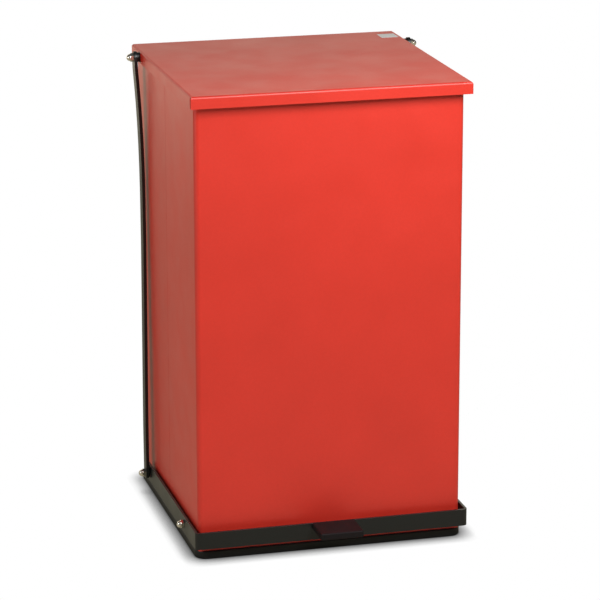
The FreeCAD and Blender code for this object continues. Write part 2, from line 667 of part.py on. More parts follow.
def make_pedal():
    """The flat-bar band round the casing's foot, and the pedal's plate and rubber."""
    bend = "band_corner"
    outer = (BAND_OUTER, BAND_FRONT, f"{REAR} + body_depth", bend)
    inner_bend = "(band_corner - bar_thick)"
    inner = (BAND_INNER, f"({BAND_FRONT} + bar_thick)", f"({REAR} + body_depth - bar_thick)", inner_bend)
    loop = prism("BandLoop", (outer, inner), "band_bottom", "bar_height")
    low = ("-body_width", f"{FOOT_Y} + band_tail", "0")
    behind = block("BehindBand", low, ("2 * body_width", "2 * body_depth", "total_height"))
    keep(cut("PedalBand", loop, behind, pivot_bore("BandBores"), *slot_bars()), "pedal_band")

    plate_z = f"({BAND_TOP} + tread_rise - tread_thick / 2 - plate_thick / 2)"
    low = ("-plate_width / 2", f"{BAND_FRONT} - plate_reach", plate_z)
    keep(block("PedalPlate", low, ("plate_width", "plate_reach", "plate_thick")), "pedal_plate")

    tread_back = f"({BAND_FRONT} - fit_gap)"
    outline = ("(tread_width / 2)", f"({BAND_FRONT} - tread_reach)", tread_back, "tread_round")
    body = prism("TreadBlock", (outline,), f"{BAND_TOP} + tread_rise - tread_thick", "tread_thick")
    back = number_of(tread_back)
    round_edges(
        body, "TreadRounding", "tread_round",
        lambda box: box.ZLength < TOUCH and box.YMin < back - TOUCH,
    )
    low = ("-plate_width / 2 - fit_gap", f"{BAND_FRONT} - plate_reach - fit_gap", f"{plate_z} - fit_gap")
    size = ("plate_width + 2 * fit_gap", "2 * plate_reach", "plate_thick + 2 * fit_gap")
    keep(cut("PedalTread", body, block("TreadSleeve", low, size)), "pedal_tread")


# ---- Lift rods ---------------------------------------------------------

def rod_blank():
    """A flat bar with upright ends that bows towards the wall between them.

    The bow is a pair of cubic curves whose ends stand upright. Neither a bound
    sketch nor a primitive holds those, so the outline is worked out here.
    """
    half = number_of("rod_thick / 2")
    end = number_of("rod_width / 2")
    length = number_of(ROD_LENGTH)
    waist = length - number_of("rod_waist_drop")
    foot_x = number_of(ROD_FOOT_X)
    top_x = number_of(ROD_TOP_X)
    waist_x = foot_x - number_of("rod_hollow")
    shoulder = length - end
    lower_handle = (waist - end) * LOWER_HANDLE
    waist_handle = (shoulder - waist) * WAIST_HANDLE
    top_handle = (shoulder - waist) * TOP_HANDLE
    lower_bow = (
        (foot_x, end),
        (foot_x, end + lower_handle),
        (waist_x, waist - lower_handle),
        (waist_x, waist),
    )
    upper_bow = (
        (waist_x, waist),
        (waist_x, waist + waist_handle),
        (top_x, shoulder - top_handle),
        (top_x, shoulder),
    )

    def curve(poles, offset=0.0):
        line = Part.BezierCurve()
        line.setPoles([Vector(x + offset, -end, z) for x, z in poles])
        return line.toShape()

    edges = [
        curve(((foot_x - half, -end), (foot_x + half, -end))),
        curve(((top_x - half, length + end), (top_x + half, length + end))),
    ]
    for offset in (-half, half):
        edges.append(curve(((foot_x, -end), (foot_x, end)), offset))
        edges.append(curve(lower_bow, offset))
        edges.append(curve(upper_bow, offset))
        edges.append(curve(((top_x, shoulder), (top_x, length + end)), offset))
    outline = Part.Wire(Part.__sortEdges__(edges))
    feature = doc.addObject("Part::Feature", "RodBlank")
    feature.Shape = Part.Face(outline).extrude(Vector(0, 2 * end, 0))
    return feature


def make_rods():
    """Each lift rod with the bolt, spacer and dome nut at its lower end."""
    wide = "body_width"
    foot = ("0", "0", "0")
    top = ("0", "0", ROD_LENGTH)
    outline = fuse(
        "RodOutline",
        bar("RodFootEnd", foot, "rod_width / 2", wide),
        bar("RodTopEnd", top, "rod_width / 2", wide),
        block("RodMiddle", ("0", "-rod_width / 2", "0"), (wide, "rod_width", ROD_LENGTH)),
    )
    shaped = doc.addObject("Part::MultiCommon", "RodShaped")
    shaped.Shapes = [rod_blank(), outline]
    rod = cut("RodRight", shaped, bar("RodFootBore", foot, BORE, wide), bar("RodTopBore", top, BORE, wide))
    lean = f"atan(({TOP_PIN_Y} - {FOOT_Y}) / ({TOP_PIN_Z} - {PIN_Z}))"
    rod.Placement.Rotation = FreeCAD.Rotation(-X_AXIS, QUARTER_TURN)
    bind(rod, **{"Placement.Rotation.Angle": lean})
    place(rod, "0", FOOT_Y, PIN_Z)
    head_x = f"({BAND_INNER} - face_gap - head_height)"
    nut_x = f"({ROD_FOOT_X} + rod_thick / 2 + fit_gap)"
    reach = f"({nut_x} + nut_bore - face_gap - {head_x})"
    length = "foot_spacer - face_gap - fit_gap"
    pieces = (
        ("lift_rod", rod),
        ("rod_foot_bolt", bolt("RodFootBolt", head_x, FOOT_Y, PIN_Z, reach)),
        ("rod_foot_spacer", spacer("RodFootSpacer", f"{BAND_OUTER} + face_gap", FOOT_Y, PIN_Z, length)),
        ("rod_foot_nut", dome_nut("RodFootNut", nut_x, FOOT_Y, PIN_Z)),
    )
    for label, piece in pieces:
        keep(piece, label + "_right")
        keep(mirrored(piece.Name + "Left", piece), label + "_left")


def check_and_write():
    """Stop on any failed feature or bad solid, then write every node."""
    doc.recompute()
    for thing in doc.Objects:
        if "Invalid" in thing.State or "Error" in thing.State:
            raise RuntimeError(f"feature failed: {thing.Name} {thing.State}")
    for node in nodes:
        if node.Shape.isNull() or not node.Shape.isValid() or not node.Shape.Solids:
            raise RuntimeError(f"bad solid: {node.Label}")
    for node in nodes:
        node.Shape.exportStep(f"parts/{node.Label}.step")
        print(node.Label, len(node.Shape.Solids), round(node.Shape.Volume, 1))


make_shells()
make_seam_strips()
make_floor_pan()
make_top_rim()
make_base_bumper()
make_liner()
make_bail()
make_hinge()
make_pedal_pivots()
make_lid()
make_lid_pins()
make_pedal()
make_rods()
check_and_write()
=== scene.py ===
"""Finish, camera and light for a square step-on waste can.

Units are metres, +Z is up and -Y is the front with the pedal.
"""
import json
from math import cos, radians, sin

import bmesh
import bpy
from bpy.props import FloatProperty, FloatVectorProperty, IntProperty, PointerProperty
from bpy.types import Operator, Panel, PropertyGroup
from mathutils import Matrix, Vector


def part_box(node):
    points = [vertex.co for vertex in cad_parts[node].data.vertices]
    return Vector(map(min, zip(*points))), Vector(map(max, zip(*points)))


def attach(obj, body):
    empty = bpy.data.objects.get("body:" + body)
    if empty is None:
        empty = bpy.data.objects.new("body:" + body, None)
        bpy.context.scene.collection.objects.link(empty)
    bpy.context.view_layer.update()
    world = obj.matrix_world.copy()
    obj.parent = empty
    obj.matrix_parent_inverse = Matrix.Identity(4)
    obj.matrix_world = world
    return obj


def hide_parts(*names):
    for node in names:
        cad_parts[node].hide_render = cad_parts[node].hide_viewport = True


bl_info = {
    "name": "Step-on Can Finish",
    "version": (1, 0, 0),
    "blender": (4, 5, 0),
    "location": "3D View > Sidebar > Step-on Can",
    "description": "Builds the painted, plated and rubber pieces of a step-on can round its frame",
    "category": "Object",
}

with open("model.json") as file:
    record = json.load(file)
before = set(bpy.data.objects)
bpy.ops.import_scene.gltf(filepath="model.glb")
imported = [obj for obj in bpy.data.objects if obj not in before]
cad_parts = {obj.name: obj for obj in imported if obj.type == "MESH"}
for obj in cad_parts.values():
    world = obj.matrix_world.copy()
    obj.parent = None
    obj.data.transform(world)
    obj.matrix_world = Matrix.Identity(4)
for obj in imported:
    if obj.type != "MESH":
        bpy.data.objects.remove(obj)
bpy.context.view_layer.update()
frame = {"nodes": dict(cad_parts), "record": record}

MM = 0.001
UP = Vector((0, 0, 1))
SMOOTH_ANGLE = radians(50)
BEVEL_ANGLE = radians(32)
FLAT_ANGLE = radians(0.4)
WELD = 0.002 * MM
FLOOR_REACH = 30.0
WHITE = "#FFFFFF"
QUARTER_TURN = radians(90)
BORE_REACH = 2.0  # a boring tool's length over the piece that it goes through
NUT_TOP = 0.84  # the chamfer cone's radii over the nut's corner radius
NUT_FOOT = 1.5
COLLAR_RADIUS = 1.04  # the collar under the dome over the dome and the hexagon
COLLAR_HEIGHT = 1.12
NUT_SIDES = 6
SHANK_SIDES = 24
KNUCKLE_SIDES = 32
CONE_SIDES = 48


def linear(code):
    """An sRGB hex colour as linear red, green, blue and alpha."""
    parts = [int(code[i:i + 2], 16) / 255 for i in (1, 3, 5)]
    return tuple(p / 12.92 if p <= 0.04045 else ((p + 0.055) / 1.055) ** 2.4 for p in parts) + (1.0,)


def per_metre(millimetres):
    """The texture scale that gives a pattern its real size."""
    return 1 / (millimetres * MM)


# ---- Settings ----------------------------------------------------------

def colour(name, code, description):
    """A colour setting."""
    return FloatVectorProperty(
        name=name, description=description, subtype="COLOR", size=4, min=0, max=1, default=linear(code)
    )


def length(name, millimetres, description):
    """A length setting."""
    return FloatProperty(
        name=name, description=description, default=millimetres * MM, min=0, unit="LENGTH", precision=5
    )


def amount(name, default, description):
    """A plain number setting that can't be negative."""
    return FloatProperty(name=name, description=description, default=default, min=0)


def turn(name, degrees, description):
    """An angle setting."""
    return FloatProperty(name=name, description=description, default=radians(degrees), unit="ROTATION")


class CanColours(PropertyGroup):
    enamel: colour("Red enamel", "#DC3527", "Baked enamel of the casing and the lid")
    black_enamel: colour("Black enamel", "#17191A", "Baked enamel of the pedal band and the lift rods")
    rubber: colour("Rubber", "#101112", "Moulded rubber of the base bumper")
    tread: colour("Pedal rubber", "#140F11", "Moulded rubber of the pedal tread")
    nylon: colour("Nylon", "#111111", "Turned nylon of the spacers and bushes")
    nickel: colour("Nickel plate", "#F3EDE2", "Bright plate of the dome nuts")
    zinc: colour("Zinc plate", "#B4B8BC", "Plate of the bolts, hinge and bail")
    galvanised: colour("Galvanised sheet", "#A9AFB3", "Hot-dipped sheet of the liner")
    paper: colour("Label paper", "#F1EFEC", "Blank label on the lid")
    floor: colour("Floor", WHITE, "Plain pale floor as the camera sees it")
    bounce: colour("Floor light", "#E0D8C8", "What the floor gives back to the can")
    # A painted sheen: the floor glows this tint only in the can's gloss, lifting the sheen on its lid and
    # sides.
    painted_sheen: colour("Floor gloss", "#A8A28C", "What the can's gloss shows of the floor")


class CanSizes(PropertyGroup):
    sheet_edge: length("Sheet edge", 0.25, "Softening of sheared sheet and bar edges")
    rubber_edge: length("Rubber edge", 0.6, "Rounding of moulded rubber edges")
    turned_edge: length("Turned edge", 0.2, "Rounding of turned and plated edges")
    head_edge: length("Bolt head edge", 0.15, "Rounding of the bolt heads")
    nut_corner: length("Nut corner radius", 5.9, "Centre to corner of a dome nut's hexagon")
    nut_hex: length("Nut hexagon", 4.4, "Height of a dome nut's hexagon")
    nut_dome: length("Nut dome", 4.6, "Radius of a dome nut's dome")
    bolt_shank: length("Bolt shank", 3.0, "Radius of the pivot bolts")
    bolt_head: length("Bolt head", 2.2, "Height of the bolt heads")
    bore_gap: length("Bore gap", 0.06, "Radial clearance of pins in their bores")
    rivet_shank: length("Rivet shank", 1.6, "Radius of the hinge rivets")
    rivet_head: length("Rivet head", 3.2, "Radius of the rivet heads")
    rivet_dome: length("Rivet dome", 1.1, "Height of the rivet heads")
    rivets: IntProperty(name="Rivets", description="Rivets in the rear wall", default=6, min=2)
    knuckles: IntProperty(name="Hinge knuckles", description="Knuckles on both leaves", default=11, min=3)
    knuckle_radius: length("Knuckle radius", 3.0, "Outside radius of a hinge knuckle")
    knuckle_gap: length("Knuckle gap", 0.4, "Space between neighbouring knuckles")
    leaf_sheet: length("Hinge leaf", 1.0, "Thickness of the hinge leaves")


class CanStage(PropertyGroup):
    azimuth: turn("Azimuth", 14.788, "Camera's turn to the left of the front")
    elevation: turn("Elevation", 15.798, "Camera's height above the level")
    roll: turn("Roll", -0.081, "Camera's tilt")
    distance: length("Distance", 4035.4, "Camera to the place it looks at")
    lens: amount("Lens", 180.9, "Focal length in millimetres")
    aim_height: length("Aim height", 300.0, "Height of the place the camera looks at")
    aim_depth: length("Aim depth", 27.55, "The casing's middle behind the origin")
    slide_right: length("Slide right", 4.695, "Camera moved sideways")
    slide_down: length("Slide down", 9.962, "Camera moved downwards")
    sky: amount("Sky", 0.08, "Strength of the even white surroundings")
    key: amount("Key light", 16.5, "Power of the soft box above the front, in watts")
    side: amount("Side light", 6.6, "Power of the soft box on the left, in watts")
    back: amount("Back light", 24.0, "Power of the wide soft box behind, in watts")
    # Painted shade: the floor's glow is darkened by ambient occlusion over this reach and to this power.
    contact: length("Contact shade", 24.0, "How far the can darkens the floor at its foot")
    contact_depth: amount("Contact depth", 2.5, "How dark the floor gets at the can's foot")


# ---- Materials ---------------------------------------------------------

def add(tree, kind, inputs=None, **settings):
    """Add a node with its settings; an input takes a value, a socket, a node's first output or a list."""
    node = tree.nodes.new(kind)
    for name, value in settings.items():
        setattr(node, name, value)
    for name, value in (inputs or {}).items():
        for item in value if isinstance(value, list) else [value]:
            if isinstance(item, bpy.types.Node):
                item = item.outputs[0]
            if isinstance(item, bpy.types.NodeSocket):
                tree.links.new(item, node.inputs[name])
            else:
                node.inputs[name].default_value = item
    return node


def shade(name, **inputs):
    """A material with one surface shader; returns it, its tree, the shader and object coordinates."""
    material = bpy.data.materials.new(name)
    material.use_nodes = True
    tree = material.node_tree
    tree.nodes.clear()
    values = {key.replace("_", " "): value for key, value in inputs.items()}
    shader = add(tree, "ShaderNodeBsdfPrincipled", values)
    add(tree, "ShaderNodeOutputMaterial", {"Surface": shader})
    return material, tree, shader, add(tree, "ShaderNodeTexCoord").outputs["Object"]


def cover(tree, shader, tone, gloss, normal):
    """Give the shader its colour, roughness and relief."""
    for name, node in (("Base Color", tone), ("Roughness", gloss), ("Normal", normal)):
        tree.links.new(node, shader.inputs[name])


def mottled(tree, place, millimetres, low, high, detail=2.0):
    """Soft blotches of a real size that run from one value to another."""
    inputs = {"Vector": place, "Scale": per_metre(millimetres), "Detail": detail}
    blotches = add(tree, "ShaderNodeTexNoise", inputs)
    span = {"Value": blotches, "From Min": 0.3, "From Max": 0.7, "To Min": low, "To Max": high}
    return add(tree, "ShaderNodeMapRange", span).outputs[0]


def tinged(tree, place, millimetres, first, second, most=1.0, detail=2.0):
    """Soft blotches of a real size that run from one tint towards another."""
    share = mottled(tree, place, millimetres, 0.0, most, detail)
    return add(tree, "ShaderNodeMix", {0: share, 6: first, 7: second}, data_type="RGBA").outputs[2]


def relief(tree, place, *layers):
    """Stacked bumps, each given as its width and depth in millimetres."""
    below = {}
    for millimetres, depth in layers:
        height = mottled(tree, place, millimetres, 0.0, 1.0)
        bump = add(tree, "ShaderNodeBump", {"Height": height, "Distance": depth * MM, **below})
        below = {"Normal": bump}
    return bump.outputs[0]


def scaled(tint, share):
    """A tint made lighter or darker."""
    return tuple(channel * share for channel in tint[:3]) + (1.0,)


def enamel(name, tint, rough, speck, peel):
    """Baked enamel: sprayed paint that flowed into a faint orange peel before it set."""
    material, tree, shader, place = shade(name, IOR=1.5)
    tone = tinged(tree, place, 90, scaled(tint, 0.96), scaled(tint, 1.03))
    # Peel is about 1 mm across; it is drawn at 2.6 mm so that it shows.
    tone = tinged(tree, place, 2.6, tone, scaled(tint, 0.7), speck)
    gloss = mottled(tree, place, 45, rough - 0.03, rough + 0.03)
    cover(tree, shader, tone, gloss, relief(tree, place, (170, 0.5), (2.6, peel)))
    return material


def moulded(name, tint, rough, grain, depth, ior=1.5):
    """Moulded rubber or nylon: dull, with the fine texture of its mould and a trace of dust."""
    material, tree, shader, place = shade(name, IOR=ior)
    tone = tinged(tree, place, 30, scaled(tint, 0.85), scaled(tint, 1.25), detail=4.0)
    gloss = mottled(tree, place, 30, rough - 0.05, rough + 0.06, 4.0)
    # The mould's grain is about 0.3 mm; it is drawn coarser so that it shows.
    cover(tree, shader, tone, gloss, relief(tree, place, (grain, depth)))
    return material


def plated(name, tint, rough, line):
    """Plated steel: bright metal with fine drawn lines and softly uneven gloss."""
    material, tree, shader, place = shade(name, Metallic=1.0)
    along = add(tree, "ShaderNodeMapping", {"Vector": place, "Scale": (0.04, 1.0, 1.0)})
    tone = tinged(tree, place, 6, scaled(tint, 0.88), tint, detail=3.0)
    gloss = mottled(tree, place, 6, rough - 0.05, rough + 0.07, 3.0)
    cover(tree, shader, tone, gloss, relief(tree, along, (line, 0.01)))
    return material


def galvanised(name, tint):
    """Hot-dipped galvanised sheet: zinc frozen into leaf-like spangles about 12 mm across."""
    # Weathered zinc has a thin dull oxide, so it isn't wholly metallic.
    material, tree, shader, place = shade(name, Metallic=0.4)
    wander = add(tree, "ShaderNodeTexNoise", {"Vector": place, "Scale": per_metre(9)}).outputs["Color"]
    nudge = {0: wander, 1: (4 * MM, 4 * MM, 4 * MM), 2: place}
    bent = add(tree, "ShaderNodeVectorMath", nudge, operation="MULTIPLY_ADD")
    cells = add(tree, "ShaderNodeTexVoronoi", {"Vector": bent, "Scale": per_metre(12)})
    leaf = add(tree, "ShaderNodeSeparateColor", {"Color": cells.outputs["Color"]})
    shades = {0: leaf.outputs["Red"], 6: scaled(tint, 0.72), 7: tint}
    tone = add(tree, "ShaderNodeMix", shades, data_type="RGBA").outputs[2]
    span = {"Value": leaf.outputs["Green"], "To Min": 0.38, "To Max": 0.55}
    gloss = add(tree, "ShaderNodeMapRange", span).outputs[0]
    cover(tree, shader, tone, gloss, relief(tree, bent, (12, 0.03)))
    return material


def paper(name, tint):
    """Coated label paper: matt white with faint fibres."""
    material, tree, shader, place = shade(name, IOR=1.45)
    tone = tinged(tree, place, 1.5, scaled(tint, 0.94), tint, detail=4.0)
    gloss = mottled(tree, place, 1.5, 0.5, 0.62, 4.0)
    cover(tree, shader, tone, gloss, relief(tree, place, (1.5, 0.02)))
    return material


def white_floor(tints, stage):
    """Floor that glows even and white to the camera, with a painted shade at the can's foot and a painted
    sheen in the can's gloss; it lights the can gently.
    """
    material, tree, shader, place = shade("Pale floor", Roughness=0.9, Specular_IOR_Level=0.1)
    tone = tinged(tree, place, 400, scaled(tints.bounce, 0.97), tints.bounce)
    tree.links.new(tone, shader.inputs["Base Color"])
    # Painted shadow: ambient occlusion darkens the floor's glow at the can's foot, whatever the lamps do.
    near = add(tree, "ShaderNodeAmbientOcclusion", {"Distance": stage.contact}, samples=16).outputs["AO"]
    painted_contact_shade = add(tree, "ShaderNodeMath", {0: near, 1: stage.contact_depth}, operation="POWER")
    ray = add(tree, "ShaderNodeLightPath").outputs
    # Camera rays see the white floor; glossy rays see the painted sheen tint.
    views = {0: ray["Is Camera Ray"], 6: tints.painted_sheen, 7: tints.floor}
    tone = add(tree, "ShaderNodeMix", views, data_type="RGBA").outputs[2]
    # The floor glows for camera and glossy rays: white to the camera, and a painted sheen in the can's
    # gloss, both with the painted contact shade.
    painted_floor_glow = add(tree, "ShaderNodeEmission", {"Color": tone, "Strength": painted_contact_shade})
    direct = add(tree, "ShaderNodeMath", {0: ray["Is Camera Ray"], 1: ray["Is Glossy Ray"]})
    both = add(tree, "ShaderNodeMixShader", {0: direct, 1: shader, 2: painted_floor_glow})
    tree.links.new(both.outputs[0], tree.get_output_node("ALL").inputs["Surface"])
    return material


def make_materials():
    """Every finish by the slot that the frame gives its pieces."""
    tints = bpy.context.scene.can_colours
    return {
        "red_enamel": enamel("Red baked enamel", tints.enamel, 0.4, 0.12, 0.03),
        "black_enamel": enamel("Black baked enamel", tints.black_enamel, 0.36, 0.1, 0.03),
        "bumper_rubber": moulded("Black moulded rubber", tints.rubber, 0.55, 1.6, 0.05),
        "tread_rubber": moulded("Pedal rubber", tints.tread, 0.7, 1.6, 0.06, 1.35),
        "button_rubber": moulded("Grey button rubber", tints.rubber, 0.6, 0.9, 0.04),
        "bright_nickel": plated("Bright nickel plate", tints.nickel, 0.26, 0.5),
        "zinc_steel": plated("Zinc-plated steel", tints.zinc, 0.38, 0.8),
        "galvanised_steel": galvanised("Galvanised sheet steel", tints.galvanised),
        "black_nylon": moulded("Black turned nylon", tints.nylon, 0.42, 0.6, 0.02),
        "white_label": paper("White label paper", tints.paper),
    }


MATERIALS = {}


def slot_of(node):
    """The frame's material slot of a node."""
    return next(part["material_slot"] for part in frame["record"]["subparts"] if part["node"] == node)


def paint(mesh, slot):
    """Give a mesh its one finish."""
    mesh.materials.clear()
    mesh.materials.append(MATERIALS[slot])


# ---- Shared making -----------------------------------------------------

def body_of(node):
    """The frame's body that a node rides on."""
    bodies = frame["record"]["behaviour"]["bodies"]
    return next(body for body, members in bodies.items() if node in members)


def new_piece(name, mesh):
    """A new object in the scene."""
    piece = bpy.data.objects.new(name, mesh)
    bpy.context.scene.collection.objects.link(piece)
    return piece


def soften(piece, width, segments=2):
    """Break the sharp edges and keep the flat faces' shading flat."""
    bevel = piece.modifiers.new("Edges", "BEVEL")
    bevel.width = width
    bevel.segments = segments
    bevel.limit_method = "ANGLE"
    bevel.angle_limit = BEVEL_ANGLE
    bevel.use_clamp_overlap = True
    piece.modifiers.new("Shading", "WEIGHTED_NORMAL").keep_sharp = True


def settle(piece, node):
    """Turn the piece into a plain mesh that stands for a frame node and rides with it."""
    graph = bpy.context.evaluated_depsgraph_get()
    mesh = bpy.data.meshes.new_from_object(
        piece.evaluated_get(graph), preserve_all_data_layers=True, depsgraph=graph
    )
    piece.modifiers.clear()
    piece.data = mesh
    mesh.name = piece.name
    slot = slot_of(node)
    paint(mesh, slot)
    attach(piece, body_of(node))
    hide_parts(node)


def welded(node):
    """A copy of a frame node's mesh with its triangles joined into faces."""
    mesh = frame["nodes"][node].data.copy()
    work = bmesh.new()
    work.from_mesh(mesh)
    bmesh.ops.remove_doubles(work, verts=work.verts, dist=WELD)
    bmesh.ops.dissolve_limit(work, angle_limit=FLAT_ANGLE, verts=work.verts, edges=work.edges)
    for face in work.faces:
        face.smooth = True
    work.to_mesh(mesh)
    work.free()
    mesh.set_sharp_from_angle(angle=SMOOTH_ANGLE)
    return mesh


def finish(nodes, width, segments=2):
    """Stand in for frame nodes with softly edged copies."""
    for node in nodes:
        piece = new_piece(node + "_finished", welded(node))
        soften(piece, width, segments)
        settle(piece, node)


# ---- Repeated pieces ---------------------------------------------------

def start_tree(name, sizes, counts=()):
    """A geometry tree with named sizes; returns it and its inputs by name."""
    tree = bpy.data.node_groups.new(name, "GeometryNodeTree")
    sockets = tree.interface
    sockets.new_socket("Geometry", in_out="INPUT", socket_type="NodeSocketGeometry")
    for size in sizes:
        sockets.new_socket(size, in_out="INPUT", socket_type="NodeSocketFloat").subtype = "DISTANCE"
    for count in counts:
        sockets.new_socket(count, in_out="INPUT", socket_type="NodeSocketInt")
    sockets.new_socket("Material", in_out="INPUT", socket_type="NodeSocketMaterial")
    sockets.new_socket("Geometry", in_out="OUTPUT", socket_type="NodeSocketGeometry")
    return tree, add(tree, "NodeGroupInput").outputs


def close_tree(tree, geometry, material):
    """End a tree with real geometry that has its finish."""
    real = add(tree, "GeometryNodeRealizeInstances", {"Geometry": geometry})
    done = add(tree, "GeometryNodeSetMaterial", {"Geometry": real, "Material": material})
    add(tree, "NodeGroupOutput", {"Geometry": done})


def run_tree(piece, tree, node, **sizes):
    """Run the tree on a piece with its sizes set by socket identifier."""
    modifier = piece.modifiers.new(tree.name, "NODES")
    modifier.node_group = tree
    values = {name.replace("_", " ").capitalize(): value for name, value in sizes.items()}
    values["Material"] = MATERIALS[slot_of(node)]
    for item in tree.interface.items_tree:
        if item.in_out == "INPUT" and item.name in values:
            modifier[item.identifier] = values[item.name]


def raised(tree, geometry, height):
    """Lift geometry along Z."""
    lift = add(tree, "ShaderNodeCombineXYZ", {"Z": height})
    return add(tree, "GeometryNodeTransform", {"Geometry": geometry, "Translation": lift})


def standing_bar(tree, radius, depth, base=0.0, sides=40):
    """A round bar that stands on a height."""
    bar = add(tree, "GeometryNodeMeshCylinder", {"Vertices": sides, "Radius": radius, "Depth": depth})
    middle = add(tree, "ShaderNodeMath", {0: depth, 1: 0.5, 2: base}, operation="MULTIPLY_ADD")
    return raised(tree, bar, middle)


def at_marks(tree, points, part):
    """Set a part that stands along +Z on every point, turned the way the point faces."""
    facing = add(tree, "GeometryNodeInputNamedAttribute", {"Name": "facing"}, data_type="FLOAT_VECTOR")
    spin = add(tree, "FunctionNodeAlignRotationToVector", {"Vector": facing}, axis="Z")
    return add(tree, "GeometryNodeInstanceOnPoints", {"Points": points, "Instance": part, "Rotation": spin})


def place_marks(name, marks):
    """A piece whose points are places, each with the direction it faces."""
    mesh = bpy.data.meshes.new(name)
    mesh.from_pydata([place for place, facing in marks], [], [])
    directions = [number for place, facing in marks for number in facing]
    mesh.attributes.new("facing", "FLOAT_VECTOR", "POINT").data.foreach_set("vector", directions)
    return new_piece(name, mesh)


def inner_x(node):
    """How far from the can's middle plane a node's turned pieces start."""
    return min(abs(vertex.co.x) for vertex in frame["nodes"][node].data.vertices)


def pivot_marks(node):
    """Where each of a node's turned pieces starts, facing away from the can."""
    low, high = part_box(node)
    y, z = (low.y + high.y) / 2, (low.z + high.z) / 2
    sides = [side for side, reach in ((-1, -low.x), (1, high.x)) if reach > 0]
    return [((side * inner_x(node), y, z), (side, 0, 0)) for side in sides]


def turned_sizes(node):
    """A turned piece's largest radius and its length, read from the frame."""
    low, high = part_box(node)
    return (high.z - low.z) / 2, max(abs(low.x), abs(high.x)) - inner_x(node)


# ---- Operators ---------------------------------------------------------

class CAN_OT_finishes(Operator):
    """Make every finish and give it to the frame's own pieces"""
    bl_idname = "can.finishes"
    bl_label = "Finishes"

    def execute(self, context):
        MATERIALS.update(make_materials())
        for node, thing in frame["nodes"].items():
            paint(thing.data, slot_of(node))
        return {"FINISHED"}


class CAN_OT_casing(Operator):
    """Deburr the casing's folded halves, their seam strips, the floor pan and the top rim"""
    bl_idname = "can.casing"
    bl_label = "Casing"

    def execute(self, context):
        nodes = ("front_shell", "rear_shell", "seam_strips", "floor_pan", "top_rim")
        finish(nodes, context.scene.can_sizes.sheet_edge)
        return {"FINISHED"}


class CAN_OT_base_bumper(Operator):
    """Round the rubber bumper round the casing's foot"""
    bl_idname = "can.base_bumper"
    bl_label = "Base bumper"

    def execute(self, context):
        finish(("base_bumper",), context.scene.can_sizes.rubber_edge, 3)
        return {"FINISHED"}


class CAN_OT_lid(Operator):
    """Deburr the lid and finish its label and rubber buttons"""
    bl_idname = "can.lid"
    bl_label = "Lid"

    def execute(self, context):
        sizes = context.scene.can_sizes
        finish(("lid_pan",), sizes.sheet_edge)
        finish(("lid_label",), sizes.bore_gap)
        finish(("lid_buttons",), sizes.rubber_edge, 3)
        return {"FINISHED"}


class CAN_OT_liner(Operator):
    """Finish the lift-out pail with its bead, bail and bosses"""
    bl_idname = "can.liner"
    bl_label = "Liner pail"

    def execute(self, context):
        nodes = ("liner_pail", "liner_rim", "liner_bail", "bail_bosses")
        finish(nodes, context.scene.can_sizes.sheet_edge)
        return {"FINISHED"}


class CAN_OT_pedal(Operator):
    """Deburr the pedal band and its plate, and round the rubber tread"""
    bl_idname = "can.pedal"
    bl_label = "Pedal"

    def execute(self, context):
        sizes = context.scene.can_sizes
        finish(("pedal_band", "pedal_plate"), sizes.sheet_edge)
        finish(("pedal_tread",), sizes.rubber_edge, 3)
        return {"FINISHED"}


class CAN_OT_lift_rods(Operator):
    """Deburr the two bowed lift rods"""
    bl_idname = "can.lift_rods"
    bl_label = "Lift rods"

    def execute(self, context):
        finish(("lift_rod_right", "lift_rod_left"), context.scene.can_sizes.sheet_edge)
        return {"FINISHED"}


